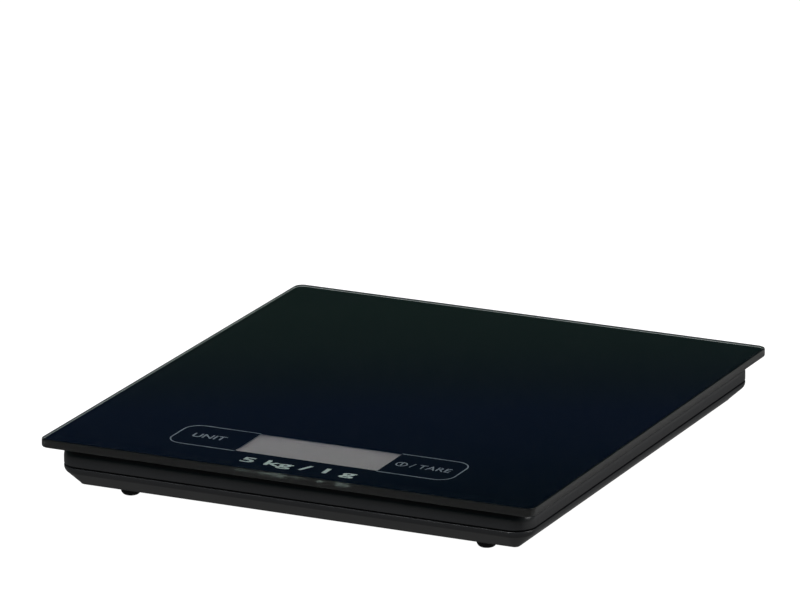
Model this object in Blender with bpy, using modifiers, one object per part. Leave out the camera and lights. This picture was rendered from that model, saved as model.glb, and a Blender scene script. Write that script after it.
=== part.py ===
"""Electronic kitchen scale: a glass platform on a single load cell, in a slim two-part plastic body.

Metres, +Z up. The origin is on the floor, under the centre of the glass; the display is at the front (-Y).
"""

import math

import bmesh
import bpy
from mathutils import Matrix, Vector

# Driving dimensions of the whole object
GLASS_WIDTH = 0.180
GLASS_DEPTH = 0.1995
GLASS_THICKNESS = 0.003
GLASS_CORNER = 0.0033
GLASS_ARRIS = 0.0005
OVERHANG_SIDE = 0.0041
OVERHANG_FRONT = 0.0048
OVERHANG_BACK = 0.0040
FOOT_HEIGHT = 0.0040
BASE_HEIGHT = 0.0070
SEAM = 0.0006
COVER_HEIGHT = 0.0067

# Fits
TOUCH_GAP = 0.0003
RUNNING_GAP = 0.0005
PLATFORM_TRAVEL = 0.0003
STOP_MARGIN = 0.00005

# Body shells
BODY_CORNER = 0.0075
WALL = 0.0018
FLOOR_THICKNESS = 0.0018
TOP_THICKNESS = 0.0022
BASE_CHAMFER_IN = 0.0056
BASE_BAND = 0.0015
HOLLOW_SLOPE_SHARE = 0.8
COVER_EDGE_ROUND = 0.0042
RIB_THICKNESS = 0.0012
RIB_HEIGHT = 0.0020
BASE_RIB_SHARES = (-0.30, -0.15)
COVER_RIB_SHARES = (0.22, 0.36)
LIP_THICKNESS = 0.0009
LIP_HEIGHT = 0.0018
LEDGE_THICKNESS = 0.0012

# Foam tape under the glass
TAPE_INSET = 0.0035
TAPE_WIDTH = 0.0050
TAPE_THICKNESS = 0.0006

# Rubber feet
FOOT_RADIUS = 0.0035
FOOT_FLAT_RADIUS = 0.0018
FOOT_ROUND_HEIGHT = 0.0022
FOOT_PEG_RADIUS = 0.0024
FOOT_PEG_DEPTH = 0.0012
FOOT_INSET_SIDE = 0.0206
FOOT_INSET_END = 0.0144
STOP_POST_RADIUS = 0.0016
STOP_POST_REACH = 0.0082

# Load cell, along X
CELL_LENGTH = 0.047
CELL_WIDTH = 0.012
CELL_WEB = 0.0008
CELL_BORE_SPREAD = 0.0045
CELL_SLOT = 0.0016
CELL_SCREW_OUTER = 0.0195
CELL_SCREW_INNER = 0.0120
CELL_BOSS_HEIGHT = 0.0010
SPACER_THICKNESS = 0.0006
COATING_LENGTH = 0.018
COATING_THICKNESS = 0.0005
COATING_CORNER = 0.0010

# Platform bracket
BRACKET_LENGTH = 0.070
BRACKET_WIDTH = 0.056
BRACKET_THICKNESS = 0.0012
BRACKET_CORNER = 0.0040
BRACKET_SCREW_INSET = 0.0055
BRACKET_BOSS_HEIGHT = 0.00035

# Screws
M3_RADIUS = 0.0015
M3_HEAD_RADIUS = 0.00275
M3_HEAD_HEIGHT = 0.0012
SMALL_SCREW_RADIUS = 0.0010
SMALL_HEAD_RADIUS = 0.0022
SMALL_HEAD_HEIGHT = 0.0009
RECESS_RADIUS_SHARE = 0.42
SCREW_RECESS_DEPTH = 0.0006

# Display and board, near the front edge
DISPLAY_FROM_FRONT = 0.0280
WINDOW_LENGTH = 0.052
WINDOW_WIDTH = 0.0195
LCD_MARGIN = 0.0015
LCD_THICKNESS = 0.0022
FRAME_WALL = 0.0012
FRAME_CORNER = 0.0008
OPENING_CORNER = 0.0010
BOARD_LENGTH = 0.104
BOARD_WIDTH = 0.034
BOARD_THICKNESS = 0.0010
BOARD_CORNER = 0.0010
ZEBRA_WIDTH = 0.0018
ZEBRA_HEIGHT = 0.0020
KEY_SPACING = 0.0400
TOUCH_SPRING_RADIUS = 0.0034
TOUCH_WIRE_RADIUS = 0.00028
TOUCH_SPRING_TURNS = 4
CHIP_BLOB_RADIUS = 0.0055
CHIP_BLOB_TIP_RADIUS = 0.0033
CHIP_BLOB_X = -0.0208
CHIP_HEIGHT = 0.0010
WEIGHING_CHIP_LENGTH = 0.0050
WEIGHING_CHIP_WIDTH = 0.0040
WEIGHING_CHIP_X = 0.0173
BOARD_SCREW_INSET = 0.0035
HEADER_LENGTH = 0.0160
HEADER_WIDTH = 0.0040
HEADER_HEIGHT = 0.0030
LEAD_RADIUS = 0.0005
CABLE_RADIUS = 0.0009
CABLE_STRAIGHT_END = 0.0100

# Battery well under the back of the base
BATTERY_X = -0.0380
BATTERY_FROM_CENTRE = 0.0420
COIN_RADIUS = 0.0100
COIN_THICKNESS = 0.0032
WELL_WALL = 0.0014
DOOR_SIDE_MARGIN = 0.0025
DOOR_END_MARGIN = 0.0045
DOOR_THICKNESS = 0.0012
DOOR_TAB_LENGTH = 0.0060
DOOR_TAB_DEPTH = 0.0012
DOOR_CORNER = 0.0008
CONTACT_THICKNESS = 0.0003
CONTACT_WIDTH = 0.0050

# Rating label in its recess
LABEL_LENGTH = 0.048
LABEL_WIDTH = 0.030
LABEL_THICKNESS = 0.0002
LABEL_CORNER = 0.0012
LABEL_FROM_CENTRE = 0.0420

# Plan of the body, which sits a little behind the middle of the glass
BODY_WIDTH = GLASS_WIDTH - 2 * OVERHANG_SIDE
BODY_DEPTH = GLASS_DEPTH - OVERHANG_FRONT - OVERHANG_BACK
BODY_Y = (OVERHANG_FRONT - OVERHANG_BACK) / 2
DISPLAY_Y = -GLASS_DEPTH / 2 + DISPLAY_FROM_FRONT
BATTERY_Y = BODY_Y + BATTERY_FROM_CENTRE

# Heights that the stack of pieces sets
BASE_BOTTOM = FOOT_HEIGHT
BASE_FLOOR = BASE_BOTTOM + FLOOR_THICKNESS
BASE_TOP = BASE_BOTTOM + BASE_HEIGHT
COVER_BOTTOM = BASE_TOP + SEAM
COVER_TOP = COVER_BOTTOM + COVER_HEIGHT
COVER_CEILING = COVER_TOP - TOP_THICKNESS
GLASS_BOTTOM = COVER_TOP + TOUCH_GAP
GLASS_TOP = GLASS_BOTTOM + GLASS_THICKNESS
TAPE_BOTTOM = GLASS_BOTTOM - TOUCH_GAP - TAPE_THICKNESS
BASE_CHAMFER_UP = BASE_HEIGHT - BASE_BAND
BRACKET_TOP = COVER_CEILING - BRACKET_BOSS_HEIGHT - TOUCH_GAP
BRACKET_BOTTOM = BRACKET_TOP - BRACKET_THICKNESS
SPACER_BOTTOM = BRACKET_BOTTOM - TOUCH_GAP - SPACER_THICKNESS
CELL_TOP = SPACER_BOTTOM - PLATFORM_TRAVEL - STOP_MARGIN
CELL_BOTTOM = BASE_FLOOR + CELL_BOSS_HEIGHT + TOUCH_GAP
CELL_HEIGHT = CELL_TOP - CELL_BOTTOM
CELL_BORE_RADIUS = CELL_HEIGHT / 2 - CELL_WEB
LCD_BOTTOM = GLASS_BOTTOM - TOUCH_GAP - LCD_THICKNESS
BOARD_TOP = LCD_BOTTOM - ZEBRA_HEIGHT - 2 * TOUCH_GAP
BOARD_BOTTOM = BOARD_TOP - BOARD_THICKNESS
HEADER_Y = DISPLAY_Y + BOARD_WIDTH / 2 - HEADER_WIDTH

COIN_BOTTOM = BASE_BOTTOM + DOOR_THICKNESS + TOUCH_GAP
COIN_TOP = COIN_BOTTOM + COIN_THICKNESS
WELL_CEILING = COIN_TOP + CONTACT_THICKNESS + 2 * TOUCH_GAP
WELL_ROOF = WELL_CEILING + WELL_WALL
WELL_RADIUS = COIN_RADIUS + RUNNING_GAP
DOOR_WIDTH = 2 * (WELL_RADIUS + DOOR_SIDE_MARGIN)
DOOR_LENGTH = 2 * (WELL_RADIUS + DOOR_END_MARGIN)
LABEL_Y = BODY_Y - LABEL_FROM_CENTRE

PARTS = "kitchen_scale"
CUTTERS = "cutters"
JOIN_DEPTH = 0.0005
CUT_PAST = 0.002
ROUND_SIDES = 32
SMALL_SIDES = 20


def clear_scene():
    for item in list(bpy.data.objects):
        bpy.data.objects.remove(item, do_unlink=True)


def collection(name):
    found = bpy.data.collections.get(name)
    if found is None:
        found = bpy.data.collections.new(name)
        bpy.context.scene.collection.children.link(found)
    return found


def finish_material(name, colour, roughness, metallic=0.0):
    made = bpy.data.materials.get(name)
    if made is None:
        made = bpy.data.materials.new(name)
        made.use_nodes = True
        shader = made.node_tree.nodes["Principled BSDF"]
        shader.inputs["Base Color"].default_value = (*colour, 1)
        shader.inputs["Roughness"].default_value = roughness
        shader.inputs["Metallic"].default_value = metallic
    return made


def mesh_object(name, body, group=PARTS, material=None):
    mesh = bpy.data.meshes.new(name)
    bmesh.ops.recalc_face_normals(body, faces=body.faces)
    body.to_mesh(mesh)
    body.free()
    made = bpy.data.objects.new(name, mesh)
    collection(group).objects.link(made)
    if material:
        mesh.materials.append(material)
    if group == CUTTERS:
        made.hide_render = True
        made.display_type = "WIRE"
    return made


def upright_edges(body):
    return [e for e in body.edges if abs(e.verts[0].co.z - e.verts[1].co.z) > 1e-6]


def ring_edges(body, height):
    return [e for e in body.edges if all(abs(v.co.z - height) < 1e-6 for v in e.verts)]


def round_edges(body, edges, width, segments):
    bmesh.ops.bevel(
        body, geom=edges, offset=width, offset_type="OFFSET", segments=segments,
        profile=0.5, affect="EDGES", clamp_overlap=True,
    )


def slab(centre, size, corner=0.0, segments=5):
    """A box from its centre in plan, its lowest and highest z, with its upright corners rounded."""
    low, high = size[2]
    body = bmesh.new()
    bmesh.ops.create_cube(body, size=1)
    bmesh.ops.scale(body, verts=body.verts, vec=(size[0], size[1], high - low))
    bmesh.ops.translate(body, verts=body.verts, vec=(centre[0], centre[1], (low + high) / 2))
    if corner:
        round_edges(body, upright_edges(body), corner, segments)
    return body


def disc(centre, radius, low, high, top_radius=None, sides=ROUND_SIDES):
    body = bmesh.new()
    bmesh.ops.create_cone(
        body, cap_ends=True, cap_tris=False, segments=sides,
        radius1=radius, radius2=radius if top_radius is None else top_radius, depth=high - low,
        matrix=Matrix.Translation((centre[0], centre[1], (low + high) / 2)),
    )
    return body


def boolean(target, operation, tool):
    step = target.modifiers.new(tool.name, "BOOLEAN")
    step.operation = operation
    step.solver = "EXACT"
    step.object = tool
    return tool


def cut(target, body, name):
    return boolean(target, "DIFFERENCE", mesh_object(name, body, CUTTERS))


def join(target, body, name):
    return boolean(target, "UNION", mesh_object(name, body, CUTTERS))


def screw(name, centre, shaft, head, under_head, tip, material):
    """A pan-head screw with a round driver recess. tip may be above or below the head."""
    up = 1 if tip > under_head else -1
    crown = under_head - up * head[1]
    body = disc(centre, head[0], *sorted((crown, under_head)), sides=SMALL_SIDES)
    made = mesh_object(name, body, material=material)
    join(made, disc(centre, shaft, *sorted((under_head - up * JOIN_DEPTH, tip)), sides=SMALL_SIDES),
         name + "_shaft")
    recess = disc(centre, head[0] * RECESS_RADIUS_SHARE,
                  *sorted((crown - up * CUT_PAST, crown + up * SCREW_RECESS_DEPTH)), sides=6)
    cut(made, recess, name + "_recess")
    return made


def wire(name, points, radius, material):
    """A round wire through its points, as a curve with filled ends."""
    curve = bpy.data.curves.new(name, "CURVE")
    curve.dimensions = "3D"
    curve.bevel_depth = radius
    curve.bevel_resolution = 2
    curve.use_fill_caps = True
    run = curve.splines.new("POLY")
    run.points.add(len(points) - 1)
    for place, point in zip(run.points, points):
        place.co = (*point, 1)
    curve.materials.append(material)
    made = bpy.data.objects.new(name, curve)
    collection(PARTS).objects.link(made)
    return made


def smooth_route(corners, radius, steps=5):
    """Points along straight runs with a round bend at each inner corner."""
    points = [Vector(corners[0])]
    for before, corner, after in zip(corners, corners[1:], corners[2:]):
        corner = Vector(corner)
        back = (Vector(before) - corner).normalized() * radius
        on = (Vector(after) - corner).normalized() * radius
        for step in range(steps + 1):
            t = step / steps
            points.append(corner + back * (1 - t) ** 2 + on * t ** 2)
    points.append(Vector(corners[-1]))
    return points


BLACK_PLASTIC = ("black_abs", (0.022, 0.023, 0.024), 0.45)
DARK_RUBBER = ("black_rubber", (0.012, 0.012, 0.012), 0.85)
STEEL = ("zinc_plated_steel", (0.60, 0.61, 0.63), 0.35, 1.0)


def make_glass():
    """Tempered glass with ground, arrissed edges."""
    body = slab((0, 0), (GLASS_WIDTH, GLASS_DEPTH, (GLASS_BOTTOM, GLASS_TOP)), GLASS_CORNER, 6)
    round_edges(body, ring_edges(body, GLASS_TOP), GLASS_ARRIS, 1)
    round_edges(body, ring_edges(body, GLASS_BOTTOM), GLASS_ARRIS, 1)
    glass = finish_material("black_backed_glass", (0.006, 0.007, 0.009), 0.05)
    mesh_object("glass_platform", body, material=glass)


def body_slab(low, high, inset=0.0):
    size = (BODY_WIDTH - 2 * inset, BODY_DEPTH - 2 * inset, (low, high))
    return slab((0, BODY_Y), size, BODY_CORNER - inset, 7)


def body_ring(name, low, high, outer, inner):
    """A frame that follows the body's outline, between two insets, as a tool for a join or a cut."""
    ring = mesh_object(name, body_slab(low, high, outer), CUTTERS)
    cut(ring, body_slab(low - CUT_PAST, high + CUT_PAST, inner), f"{name}_middle")
    return ring


def chamfered_tray(low, high, inset, share=1.0):
    """The base's outline: a slope of an even width all round the bottom, then an upright band."""
    body = body_slab(low, high, inset)
    bmesh.ops.bisect_plane(
        body, geom=body.verts[:] + body.edges[:] + body.faces[:],
        plane_co=(0, 0, low + share * BASE_CHAMFER_UP), plane_no=(0, 0, 1),
    )
    # Each corner's arc keeps its middle, and its radius shrinks by the width of the slope
    shrink = 1 - share * BASE_CHAMFER_IN / (BODY_CORNER - inset)
    for point in body.verts:
        if abs(point.co.z - low) < 1e-6:
            middle = Vector((math.copysign(BODY_WIDTH / 2 - BODY_CORNER, point.co.x),
                             BODY_Y + math.copysign(BODY_DEPTH / 2 - BODY_CORNER, point.co.y - BODY_Y), low))
            point.co = middle.lerp(point.co, shrink)
    return body


def foot_places():
    reach_x = BODY_WIDTH / 2 - FOOT_INSET_SIDE
    reach_y = BODY_DEPTH / 2 - FOOT_INSET_END
    for end, y in (("front", BODY_Y - reach_y), ("back", BODY_Y + reach_y)):
        for side, x in (("left", -reach_x), ("right", reach_x)):
            yield f"{end}_{side}", (x, y)


def lead_holes():
    """Where the two battery leads leave the well's roof: over the side contact, and over the middle."""
    yield "positive", (BATTERY_X - COIN_RADIUS - TOUCH_GAP - CONTACT_THICKNESS / 2, BATTERY_Y)
    yield "negative", (BATTERY_X, BATTERY_Y)


def cell_screw_places(end):
    """The two screws of one end of the load cell: -1 is fixed to the base, +1 to the platform."""
    for name, reach in (("outer", CELL_SCREW_OUTER), ("inner", CELL_SCREW_INNER)):
        yield name, (end * reach, BODY_Y)


def make_base():
    plastic = finish_material(*BLACK_PLASTIC)
    base = mesh_object("base_shell", chamfered_tray(BASE_BOTTOM, BASE_TOP, 0), material=plastic)
    cut(base, chamfered_tray(BASE_FLOOR, BASE_TOP + CUT_PAST, WALL, HOLLOW_SLOPE_SHARE), "base_hollow")

    # A lip on an inner ledge stands up behind the seam and keeps crumbs out of the gap
    lip_inset = WALL + RUNNING_GAP
    inner = lip_inset + LIP_THICKNESS
    boolean(base, "UNION", body_ring("lip_ledge", BASE_TOP - LEDGE_THICKNESS, BASE_TOP,
                                     WALL - JOIN_DEPTH, inner))
    boolean(base, "UNION", body_ring("seam_lip", BASE_TOP - LEDGE_THICKNESS / 2, BASE_TOP + LIP_HEIGHT,
                                     lip_inset, inner))
    floor = BASE_FLOOR - JOIN_DEPTH

    # The boss under the load cell's fixed end
    boss_length = CELL_LENGTH / 2 - CELL_SCREW_INNER + 3 * M3_RADIUS
    boss_x = -CELL_LENGTH / 2 + boss_length / 2
    join(base, slab((boss_x, BODY_Y), (boss_length, CELL_WIDTH, (floor, CELL_BOTTOM - TOUCH_GAP))),
         "cell_boss")
    for name, place in cell_screw_places(-1):
        cut(base, disc(place, M3_RADIUS + TOUCH_GAP, BASE_BOTTOM - CUT_PAST, CELL_BOTTOM + CUT_PAST,
                       sides=SMALL_SIDES), f"cell_hole_{name}")
        sink_top = BASE_BOTTOM + M3_HEAD_HEIGHT + TOUCH_GAP
        cut(base, disc(place, M3_HEAD_RADIUS + TOUCH_GAP, BASE_BOTTOM - CUT_PAST, sink_top,
                       sides=SMALL_SIDES), f"cell_sink_{name}")

    # Ribs across the floor, clear of the load cell, the feet and the battery well
    rib_length = BODY_WIDTH - 2 * (WALL + BASE_CHAMFER_IN) - 2 * RUNNING_GAP
    for number, share in enumerate(BASE_RIB_SHARES):
        join(base, slab((0, BODY_Y + share * BODY_DEPTH),
                        (rib_length, RIB_THICKNESS, (floor, BASE_FLOOR + RIB_HEIGHT))),
             f"floor_rib_{number + 1}")

    # A raised pad over each foot's pocket, and a stop post beside it
    for name, place in foot_places():
        pad_top = BASE_BOTTOM + FOOT_PEG_DEPTH + TOUCH_GAP + FLOOR_THICKNESS
        join(base, disc(place, FOOT_PEG_RADIUS + WALL, floor, pad_top), f"foot_pad_{name}")
        cut(base, disc(place, FOOT_PEG_RADIUS + TOUCH_GAP, BASE_BOTTOM - CUT_PAST,
                       BASE_BOTTOM + FOOT_PEG_DEPTH + TOUCH_GAP, sides=SMALL_SIDES), f"foot_pocket_{name}")
        stop_top = COVER_CEILING - PLATFORM_TRAVEL - STOP_MARGIN
        post = (place[0] + math.copysign(STOP_POST_REACH, place[0]), place[1])
        join(base, disc(post, STOP_POST_RADIUS, floor, stop_top, sides=SMALL_SIDES), f"stop_post_{name}")

    # The battery well: a round wall on the floor, and the door's opening under it
    well = (BATTERY_X, BATTERY_Y)
    join(base, disc(well, WELL_RADIUS + 2 * WELL_WALL, floor, WELL_ROOF), "well_wall")
    cut(base, disc(well, WELL_RADIUS, BASE_BOTTOM - CUT_PAST, WELL_CEILING), "well_hollow")
    niche_reach = WELL_RADIUS + CONTACT_THICKNESS + TOUCH_GAP
    cut(base, slab((BATTERY_X - niche_reach / 2, BATTERY_Y),
                   (niche_reach, CONTACT_WIDTH + 2 * TOUCH_GAP, (COIN_BOTTOM, WELL_CEILING))),
        "side_contact_niche")
    for name, place in lead_holes():
        cut(base, disc(place, LEAD_RADIUS + TOUCH_GAP, COIN_TOP, WELL_ROOF + CUT_PAST, sides=SMALL_SIDES),
            f"lead_hole_{name}")
    door_gap = RUNNING_GAP
    cut(base, slab((BATTERY_X, BATTERY_Y),
                   (DOOR_WIDTH + 2 * door_gap, DOOR_LENGTH + 2 * door_gap,
                    (BASE_BOTTOM - CUT_PAST, BASE_BOTTOM + DOOR_THICKNESS + TOUCH_GAP)),
                   DOOR_CORNER + door_gap, 3),
        "door_recess")
    latch_y = BATTERY_Y - DOOR_LENGTH / 2 + DOOR_TAB_DEPTH
    cut(base, slab((BATTERY_X, latch_y - DOOR_TAB_DEPTH),
                   (DOOR_TAB_LENGTH + 2 * door_gap, 3 * DOOR_TAB_DEPTH,
                    (BASE_BOTTOM + DOOR_THICKNESS - CUT_PAST, BASE_FLOOR + CUT_PAST))),
        "latch_slot")

    # The label's recess
    cut(base, slab((0, LABEL_Y), (LABEL_LENGTH + 2 * TOUCH_GAP, LABEL_WIDTH + 2 * TOUCH_GAP,
                                   (BASE_BOTTOM - CUT_PAST, BASE_BOTTOM + LABEL_THICKNESS + TOUCH_GAP)),
                   LABEL_CORNER + TOUCH_GAP, 3), "label_recess")
    return base


def make_feet():
    """Turned rubber domes with a peg that fills a pocket in the base."""
    rubber = finish_material(*DARK_RUBBER)
    shoulder = BASE_BOTTOM - TOUCH_GAP
    steps = 8
    profile = [(0, BASE_BOTTOM + FOOT_PEG_DEPTH), (FOOT_PEG_RADIUS, BASE_BOTTOM + FOOT_PEG_DEPTH),
               (FOOT_PEG_RADIUS, shoulder), (FOOT_RADIUS, shoulder)]
    for step in range(steps + 1):
        turn = math.pi / 2 * (1 - step / steps)
        profile.append((FOOT_FLAT_RADIUS + (FOOT_RADIUS - FOOT_FLAT_RADIUS) * math.sin(turn),
                        FOOT_ROUND_HEIGHT * (1 - math.cos(turn))))
    profile.append((0, 0))
    shared = bpy.data.meshes.new("rubber_foot")
    shared.from_pydata([(x, 0, z) for x, z in profile], [(i, i + 1) for i in range(len(profile) - 1)], [])
    shared.materials.append(rubber)
    for name, place in foot_places():
        foot = bpy.data.objects.new(f"rubber_foot_{name}", shared)
        foot.location = (*place, 0)
        collection(PARTS).objects.link(foot)
        turned = foot.modifiers.new("turn", "SCREW")
        turned.steps = ROUND_SIDES
        turned.render_steps = ROUND_SIDES
        turned.use_merge_vertices = True
        turned.merge_threshold = 0.00001
        turned.use_normal_calculate = False


def make_load_cell():
    """A bar with two bores joined by a slot, which lets its free end sink level under load."""
    aluminium = finish_material("anodised_aluminium", (0.70, 0.71, 0.72), 0.35, 1.0)
    steel = finish_material(*STEEL)
    cell = mesh_object(
        "load_cell", slab((0, BODY_Y), (CELL_LENGTH, CELL_WIDTH, (CELL_BOTTOM, CELL_TOP))),
        material=aluminium)
    middle = (CELL_BOTTOM + CELL_TOP) / 2
    through = CELL_WIDTH + 2 * CUT_PAST
    for side in (-1, 1):
        bore = bmesh.new()
        turn = Matrix.Translation((side * CELL_BORE_SPREAD, BODY_Y, middle)) @ Matrix.Rotation(
            math.pi / 2, 4, "X")
        bmesh.ops.create_cone(bore, cap_ends=True, segments=SMALL_SIDES, radius1=CELL_BORE_RADIUS,
                              radius2=CELL_BORE_RADIUS, depth=through, matrix=turn)
        cut(cell, bore, f"cell_bore_{'left' if side < 0 else 'right'}")
        for name, place in cell_screw_places(side):
            cut(cell, disc(place, M3_RADIUS + TOUCH_GAP, CELL_BOTTOM - CUT_PAST, CELL_TOP + CUT_PAST,
                           sides=SMALL_SIDES), f"cell_{'fixed' if side < 0 else 'free'}_{name}")
    cut(cell, slab((0, BODY_Y), (2 * CELL_BORE_SPREAD, through,
                                 (middle - CELL_SLOT / 2, middle + CELL_SLOT / 2))), "cell_slot")
    silicone = finish_material("white_silicone", (0.75, 0.75, 0.72), 0.6)
    mesh_object("gauge_coating", slab(
        (0, BODY_Y), (COATING_LENGTH, CELL_WIDTH - 2 * TOUCH_GAP,
                      (CELL_TOP + TOUCH_GAP, CELL_TOP + TOUCH_GAP + COATING_THICKNESS)),
        COATING_CORNER, 3), material=silicone)
    head = (M3_HEAD_RADIUS, M3_HEAD_HEIGHT)
    for name, place in cell_screw_places(-1):
        screw(f"base_screw_{name}", place, M3_RADIUS, head, BASE_BOTTOM + M3_HEAD_HEIGHT,
              CELL_TOP - CELL_HEIGHT / 3, steel)
    for name, place in cell_screw_places(1):
        screw(f"platform_screw_{name}", place, M3_RADIUS, head, BRACKET_TOP + TOUCH_GAP,
              CELL_BOTTOM + CELL_HEIGHT / 3, steel)


def bracket_screw_places():
    reach_x = BRACKET_LENGTH / 2 - BRACKET_SCREW_INSET
    reach_y = BRACKET_WIDTH / 2 - BRACKET_SCREW_INSET
    for end, y in (("front", -reach_y), ("back", reach_y)):
        for side, x in (("left", -reach_x), ("right", reach_x)):
            yield f"{end}_{side}", (x, BODY_Y + y)


def board_screw_places():
    reach_x = BOARD_LENGTH / 2 - BOARD_SCREW_INSET
    reach_y = BOARD_WIDTH / 2 - BOARD_SCREW_INSET
    for end, y in (("front", -reach_y), ("back", reach_y)):
        for side, x in (("left", -reach_x), ("right", reach_x)):
            yield f"{end}_{side}", (x, DISPLAY_Y + y)


def make_bracket():
    steel = finish_material(*STEEL)
    free_end = (CELL_SCREW_OUTER + CELL_SCREW_INNER) / 2
    spacer_length = CELL_SCREW_OUTER - CELL_SCREW_INNER + 4 * M3_RADIUS
    spacer = mesh_object("bracket_spacer", slab(
        (free_end, BODY_Y), (spacer_length, CELL_WIDTH, (SPACER_BOTTOM, SPACER_BOTTOM + SPACER_THICKNESS))),
        material=steel)
    bracket = mesh_object("platform_bracket", slab(
        (0, BODY_Y), (BRACKET_LENGTH, BRACKET_WIDTH, (BRACKET_BOTTOM, BRACKET_TOP)),
        BRACKET_CORNER, 4), material=steel)
    for name, place in cell_screw_places(1):
        for piece in (spacer, bracket):
            cut(piece, disc(place, M3_RADIUS + TOUCH_GAP, SPACER_BOTTOM - CUT_PAST, BRACKET_TOP + CUT_PAST,
                            sides=SMALL_SIDES), f"{piece.name}_hole_{name}")
    head = (SMALL_HEAD_RADIUS, SMALL_HEAD_HEIGHT)
    for name, place in bracket_screw_places():
        cut(bracket, disc(place, SMALL_SCREW_RADIUS + TOUCH_GAP, BRACKET_BOTTOM - CUT_PAST,
                          BRACKET_TOP + CUT_PAST, sides=SMALL_SIDES), f"bracket_fixing_{name}")
        screw(f"bracket_screw_{name}", place, SMALL_SCREW_RADIUS, head, BRACKET_BOTTOM - TOUCH_GAP,
              COVER_TOP - RUNNING_GAP - TOUCH_GAP, steel)


def key_places():
    yield "unit", (-KEY_SPACING, DISPLAY_Y)
    yield "tare", (KEY_SPACING, DISPLAY_Y)


def make_cover():
    """The tray glued under the glass: its top carries the board, the display and the bracket."""
    plastic = finish_material(*BLACK_PLASTIC)
    outside = body_slab(COVER_BOTTOM, COVER_TOP)
    round_edges(outside, ring_edges(outside, COVER_TOP), COVER_EDGE_ROUND, 6)
    cover = mesh_object("upper_cover", outside, material=plastic)
    cut(cover, body_slab(COVER_BOTTOM - CUT_PAST, COVER_CEILING, WALL), "cover_hollow")

    # The pocket for the foam tape
    boolean(cover, "DIFFERENCE", body_ring("tape_pocket", TAPE_BOTTOM - TOUCH_GAP, COVER_TOP + CUT_PAST,
                                           TAPE_INSET - TOUCH_GAP, TAPE_INSET + TAPE_WIDTH + TOUCH_GAP))

    # Openings over the display and the touch springs
    frame_length = WINDOW_LENGTH + 2 * (LCD_MARGIN + TOUCH_GAP + FRAME_WALL)
    frame_width = WINDOW_WIDTH + 2 * (LCD_MARGIN + TOUCH_GAP + FRAME_WALL)
    cut(cover, slab((0, DISPLAY_Y), (frame_length + 2 * RUNNING_GAP, frame_width + 2 * RUNNING_GAP,
                                     (COVER_CEILING - CUT_PAST, COVER_TOP + CUT_PAST)), OPENING_CORNER, 3),
        "display_opening")
    for name, place in key_places():
        cut(cover, disc(place, TOUCH_SPRING_RADIUS + TOUCH_WIRE_RADIUS + RUNNING_GAP,
                        COVER_CEILING - CUT_PAST, COVER_TOP + CUT_PAST), f"{name}_opening")

    # Bosses for the board and the bracket, with their pilot holes
    ceiling = COVER_CEILING + JOIN_DEPTH
    boss = SMALL_SCREW_RADIUS + TOUCH_GAP + WALL
    pilot = SMALL_SCREW_RADIUS + TOUCH_GAP
    fixings = [("board", BOARD_TOP + TOUCH_GAP, board_screw_places()),
               ("bracket", BRACKET_TOP + TOUCH_GAP, bracket_screw_places())]
    for kind, low, places in fixings:
        for name, place in places:
            join(cover, disc(place, boss, low, ceiling, sides=SMALL_SIDES), f"{kind}_boss_{name}")
            cut(cover, disc(place, pilot, low - CUT_PAST, COVER_TOP - RUNNING_GAP, sides=SMALL_SIDES),
                f"{kind}_pilot_{name}")
    for name, place in cell_screw_places(1):
        cut(cover, disc(place, M3_HEAD_RADIUS + RUNNING_GAP, COVER_CEILING - CUT_PAST,
                        COVER_TOP + CUT_PAST, sides=SMALL_SIDES), f"screw_access_{name}")

    # Stiffening ribs under the top, behind the bracket
    rib_length = BODY_WIDTH - 2 * WALL + 2 * JOIN_DEPTH
    for number, share in enumerate(COVER_RIB_SHARES):
        join(cover, slab((0, BODY_Y + share * BODY_DEPTH),
                         (rib_length, RIB_THICKNESS, (COVER_CEILING - RIB_HEIGHT, ceiling))),
             f"cover_rib_{number + 1}")


def make_tape():
    foam = finish_material("foam_tape", (0.05, 0.05, 0.05), 0.95)
    tape = mesh_object("tape_frame", body_slab(TAPE_BOTTOM, TAPE_BOTTOM + TAPE_THICKNESS, TAPE_INSET),
                       material=foam)
    cut(tape, body_slab(TAPE_BOTTOM - CUT_PAST, TAPE_BOTTOM + TAPE_THICKNESS + CUT_PAST,
                        TAPE_INSET + TAPE_WIDTH), "tape_middle")


def make_display():
    lcd_size = (WINDOW_LENGTH + 2 * LCD_MARGIN, WINDOW_WIDTH + 2 * LCD_MARGIN)
    place = (0, DISPLAY_Y)
    grey = finish_material("lcd_glass", (0.185, 0.178, 0.182), 0.25)
    lcd_heights = (LCD_BOTTOM, LCD_BOTTOM + LCD_THICKNESS)
    mesh_object("lcd_panel", slab(place, (*lcd_size, lcd_heights)), material=grey)
    white = finish_material("white_abs", (0.80, 0.80, 0.78), 0.5)
    gap = 2 * TOUCH_GAP
    wall = 2 * FRAME_WALL
    frame = mesh_object("lcd_frame", slab(
        place, (lcd_size[0] + gap + wall, lcd_size[1] + gap + wall,
                (BOARD_TOP + TOUCH_GAP, LCD_BOTTOM + LCD_THICKNESS)), FRAME_CORNER, 2), material=white)
    cut(frame, slab(place, (lcd_size[0] + gap, lcd_size[1] + gap,
                            (BOARD_TOP - CUT_PAST, GLASS_BOTTOM + CUT_PAST))), "frame_middle")
    rubber = finish_material("zebra_rubber", (0.55, 0.45, 0.42), 0.7)
    zebra_y = DISPLAY_Y + lcd_size[1] / 2 - ZEBRA_WIDTH
    mesh_object("zebra_strip", slab(
        (0, zebra_y), (WINDOW_LENGTH, ZEBRA_WIDTH,
                       (BOARD_TOP + TOUCH_GAP, LCD_BOTTOM - TOUCH_GAP))), material=rubber)


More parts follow.
